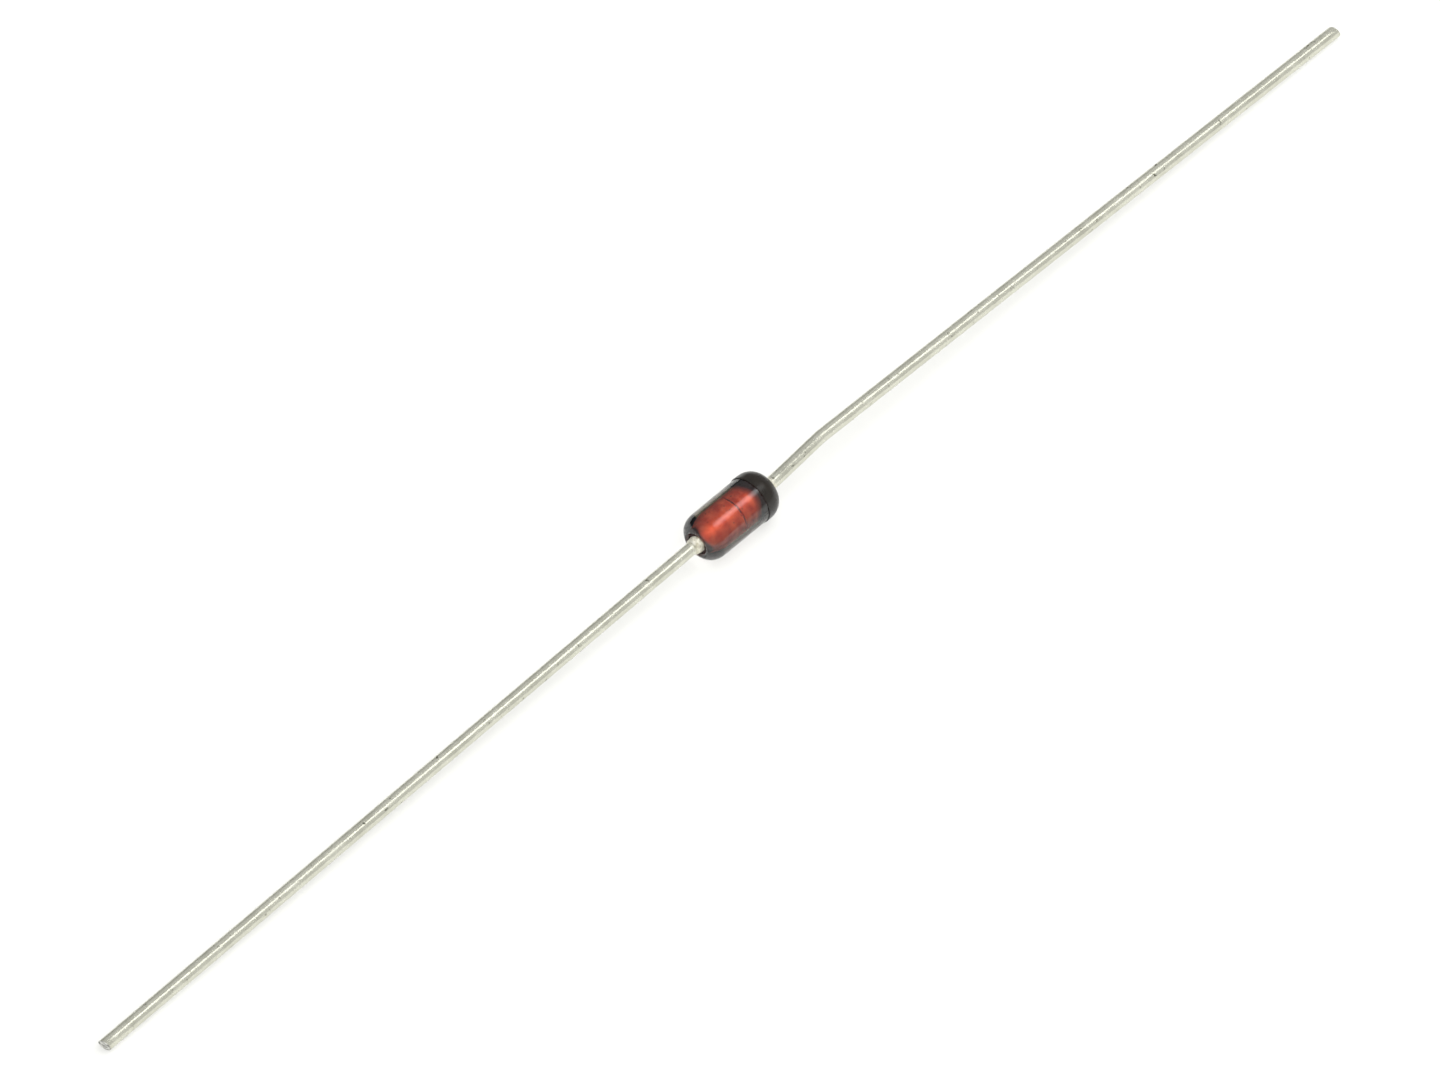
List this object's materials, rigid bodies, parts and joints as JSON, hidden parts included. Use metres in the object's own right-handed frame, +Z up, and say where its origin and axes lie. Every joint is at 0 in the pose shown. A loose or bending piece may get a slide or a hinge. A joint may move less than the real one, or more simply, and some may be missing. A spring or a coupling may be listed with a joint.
{
  "type": "zener diode",
  "caption": "Axial glass diode: a clear glass sleeve fused round copper-clad studs that clamp a silicon chip, with a black cathode band and long tinned wire leads.",
  "frame": {"origin": "on the surface that the diode lies on, below the middle of the glass", "axes": "+X along the glass towards the cathode lead, +Z up"},
  "size_m": [0.064, 0.002, 0.0019],
  "materials": {
    "clear_glass": "fire-polished",
    "black_enamel": "semi-gloss ink, baked on",
    "oxidised_copper": "red oxide under glass",
    "silicon": "sawn",
    "silver": "plated",
    "tinned_wire": "dull tin, drawn"
  },
  "bodies": {
    "root": {"glass_envelope": "clear_glass", "cathode_band": "black_enamel", "anode_stud": "oxidised_copper", "cathode_stud": "oxidised_copper", "zener_chip": "silicon", "contact_bump": "silver", "anode_lead": "tinned_wire", "cathode_lead": "tinned_wire"}
  },
  "joints": []
}
